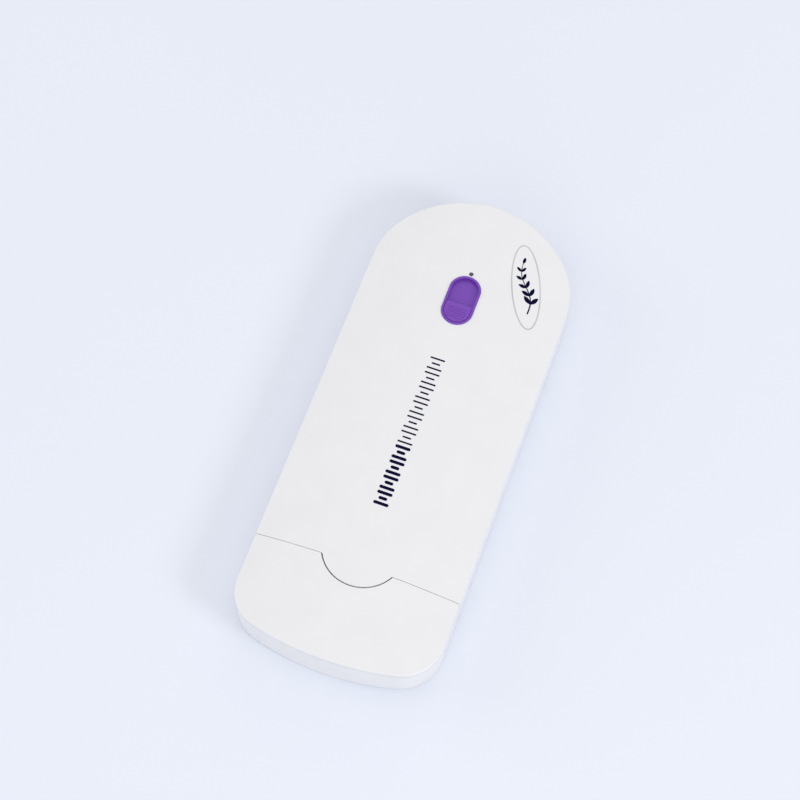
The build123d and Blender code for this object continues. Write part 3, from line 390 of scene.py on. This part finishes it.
STEM_STEPS = 32
STEM_LENGTH = 17.0 * MM
STEM_SWAY = 1.1 * MM
STEM_HALF = 0.19 * MM
LEAF_PAIRS = 5
FIRST_PAIR, PAIR_STEP = 0.18, 0.15   # where the pairs stand, as shares of the stem
PAIR_SHRINK = 0.09              # how much smaller each pair is than the one below it
TIP_LEAF, TIP_SIZE = 0.93, 0.7
LEAF_LENGTH, LEAF_HALF = 3.1 * MM, 0.65 * MM
LEAF_ANGLE = math.radians(42)


def sprig_mark():
    """A leafy sprig along the oval, in the same dark ink as the row of bars."""
    mesh = bmesh.new()

    def stem_point(t):
        return oval_point(STEM_LENGTH * (t - 0.5), STEM_SWAY * math.sin(2 * math.pi * t))

    ribbon(mesh, [stem_point(i / STEM_STEPS) for i in range(STEM_STEPS + 1)],
           [STEM_HALF * (1.1 - 0.7 * i / STEM_STEPS) for i in range(STEM_STEPS + 1)])
    for pair in range(LEAF_PAIRS):
        t = FIRST_PAIR + PAIR_STEP * pair
        heading = (stem_point(t + 0.01) - stem_point(t)).normalized()
        size = 1.0 - PAIR_SHRINK * pair
        for side in (-1, 1):
            turned = Matrix.Rotation(side * LEAF_ANGLE, 2) @ heading
            leaf(mesh, stem_point(t), turned, LEAF_LENGTH * size, LEAF_HALF * size)
    tip_heading = (stem_point(1.0) - stem_point(0.95)).normalized()
    leaf(mesh, stem_point(TIP_LEAF), tip_heading, LEAF_LENGTH * TIP_SIZE, LEAF_HALF * TIP_SIZE)
    inked("sprig_mark", mesh, INDIGO)


scale_mark()
oval_mark()
sprig_mark()

# ---------------------------------------------------------------- perforated foil
FOIL_SHEET = 0.15 * MM
FOIL_SPAN = math.radians(117)   # each side of straight ahead
FOIL_COLUMNS, FOIL_ROWS = 46, 28
FOIL_SOLID_COLUMNS, FOIL_SOLID_ROWS = 2, 4
HOLE_LONG, HOLE_SHORT = 0.36, 0.27   # hole half-sizes as shares of its cell
HOLE_STAGGER = 0.12             # how far the rows shift, by turns to either side, in cells
WELD = 0.005 * MM
CELL_RIM = [(-0.5, -0.5), (0, -0.5), (0.5, -0.5), (0.5, 0), (0.5, 0.5), (0, 0.5), (-0.5, 0.5), (-0.5, 0)]


def solid_cell(column, row):
    """Whether a cell lies in the foil's plain border."""
    return (min(column, FOIL_COLUMNS - 1 - column) < FOIL_SOLID_COLUMNS
            or min(row, FOIL_ROWS - 1 - row) < FOIL_SOLID_ROWS)


def perforated_foil():
    """The shaving foil: a thin curved sheet with staggered oval holes, in place of the plainer CAD one."""
    low, high = (Vector(corner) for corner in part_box("foil"))
    radius = (high.z - low.z) / 2
    axis_y, axis_z = low.y + radius, (high.z + low.z) / 2
    mesh = bmesh.new()

    def place(column, row):
        angle = FOIL_SPAN * (2 * row / FOIL_ROWS - 1)
        return mesh.verts.new((low.x + (high.x - low.x) * column / FOIL_COLUMNS,
                               axis_y - radius * math.cos(angle), axis_z + radius * math.sin(angle)))

    for row in range(FOIL_ROWS):
        shift = HOLE_STAGGER if row % 2 else -HOLE_STAGGER
        for column in range(FOIL_COLUMNS):
            centre_column, centre_row = column + 0.5, row + 0.5
            outside = [place(centre_column + dx, centre_row + dy) for dx, dy in CELL_RIM]
            if solid_cell(column, row):
                mesh.faces.new(outside)
                continue
            inside = []
            for dx, dy in CELL_RIM:
                turn = math.atan2(dy, dx)
                inside.append(place(centre_column + shift + HOLE_LONG * math.cos(turn),
                                    centre_row + HOLE_SHORT * math.sin(turn)))
            for k in range(len(CELL_RIM)):
                following = (k + 1) % len(CELL_RIM)
                mesh.faces.new((outside[k], outside[following], inside[following], inside[k]))
    bmesh.ops.remove_doubles(mesh, verts=mesh.verts, dist=WELD)
    bmesh.ops.recalc_face_normals(mesh, faces=mesh.faces)
    data = bpy.data.meshes.new("foil_sheet")
    mesh.to_mesh(data)
    mesh.free()
    piece = add_object("foil_sheet", data)
    face = data.polygons[0]
    outward = face.normal.dot(Vector((0, face.center.y - axis_y, face.center.z - axis_z))) > 0
    thickness = piece.modifiers.new("thickness", "SOLIDIFY")
    thickness.thickness = FOIL_SHEET
    thickness.offset = -1 if outward else 1
    thickness.use_even_offset = True
    data.materials.append(finishes["foil_steel"])
    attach(piece, "cassette")
    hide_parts("foil")


perforated_foil()

# ---------------------------------------------------------------- stage: floor, light, camera
FLOOR_HALF = 3.0
FLOOR_DARK, FLOOR_LIGHT = (0.795, 0.83, 0.925), (0.81, 0.845, 0.94)
WORLD_STRENGTH = 0.69
SOFTBOXES = {                   # where each stands, its side in metres and its power in watts
    "key": ((1.15, -0.3, 0.72), 0.35, 4.4),
    "overhead": ((0.05, 0.05, 1.5), 1.8, 3.1),
    "front": ((0.1, -1.4, 0.75), 1.0, 2.9),
    "back": ((0, 1.4, 0.9), 1.0, 1.5),
    "left": ((-1.3, -0.1, 0.42), 0.8, 3.0),
}
AZIMUTH, ELEVATION, ROLL = map(math.radians, (18.9, 65.9, 1.22))
DISTANCE = 0.5565
FOCAL_MM, SENSOR_MM = 89.7, 36.0
AIM_OFFSET = Vector((-5.7, 4.8, 7.2)) * MM


def stage_floor():
    """A pale matt floor, dull enough not to mirror the lamps in low views."""
    mesh = bpy.data.meshes.new("floor")
    corners = [(-1, -1), (1, -1), (1, 1), (-1, 1)]
    mesh.from_pydata([(FLOOR_HALF * x, FLOOR_HALF * y, 0) for x, y in corners], [], [(0, 1, 2, 3)])
    floor = add_object("floor", mesh)
    material, tree, shader = new_material("floor_sheet")
    paint(tree, shader, noise(tree, 300 * MM), FLOOR_DARK, FLOOR_LIGHT)
    gloss(tree, shader, noise(tree, 60 * MM), 0.62, 0.70)
    mesh.materials.append(material)


def softbox(name, place, size, power):
    """A square area light aimed at the object."""
    data = bpy.data.lights.new(name, "AREA")
    data.size = size
    data.energy = power
    light = add_object(name, data)
    light.location = place
    light.rotation_euler = (-Vector(place)).to_track_quat("-Z", "Y").to_euler()


def studio():
    """An even white surround and a ring of softboxes."""
    world = bpy.data.worlds.new("studio")
    world.use_nodes = True
    background = world.node_tree.nodes["Background"]
    background.inputs["Color"].default_value = (1, 1, 1, 1)
    background.inputs["Strength"].default_value = WORLD_STRENGTH
    bpy.context.scene.world = world
    for name, (place, size, power) in SOFTBOXES.items():
        softbox(name, place, size, power)
    bpy.context.scene.view_settings.view_transform = "Standard"


def photo_camera():
    """The camera at the photograph's viewing angle."""
    low, high = (Vector(corner) for corner in CAD_BOX)
    aim = (low + high) / 2 + AIM_OFFSET
    away = Vector((math.sin(AZIMUTH) * math.cos(ELEVATION), -math.cos(AZIMUTH) * math.cos(ELEVATION),
                   math.sin(ELEVATION)))
    data = bpy.data.cameras.new("camera")
    data.lens, data.sensor_width = FOCAL_MM, SENSOR_MM
    camera = add_object("camera", data)
    turn = away.to_track_quat("Z", "Y") @ Matrix.Rotation(ROLL, 4, "Z").to_quaternion()
    camera.rotation_euler = turn.to_euler()
    camera.location = aim + away * DISTANCE
    bpy.context.scene.camera = camera


stage_floor()
studio()
photo_camera()
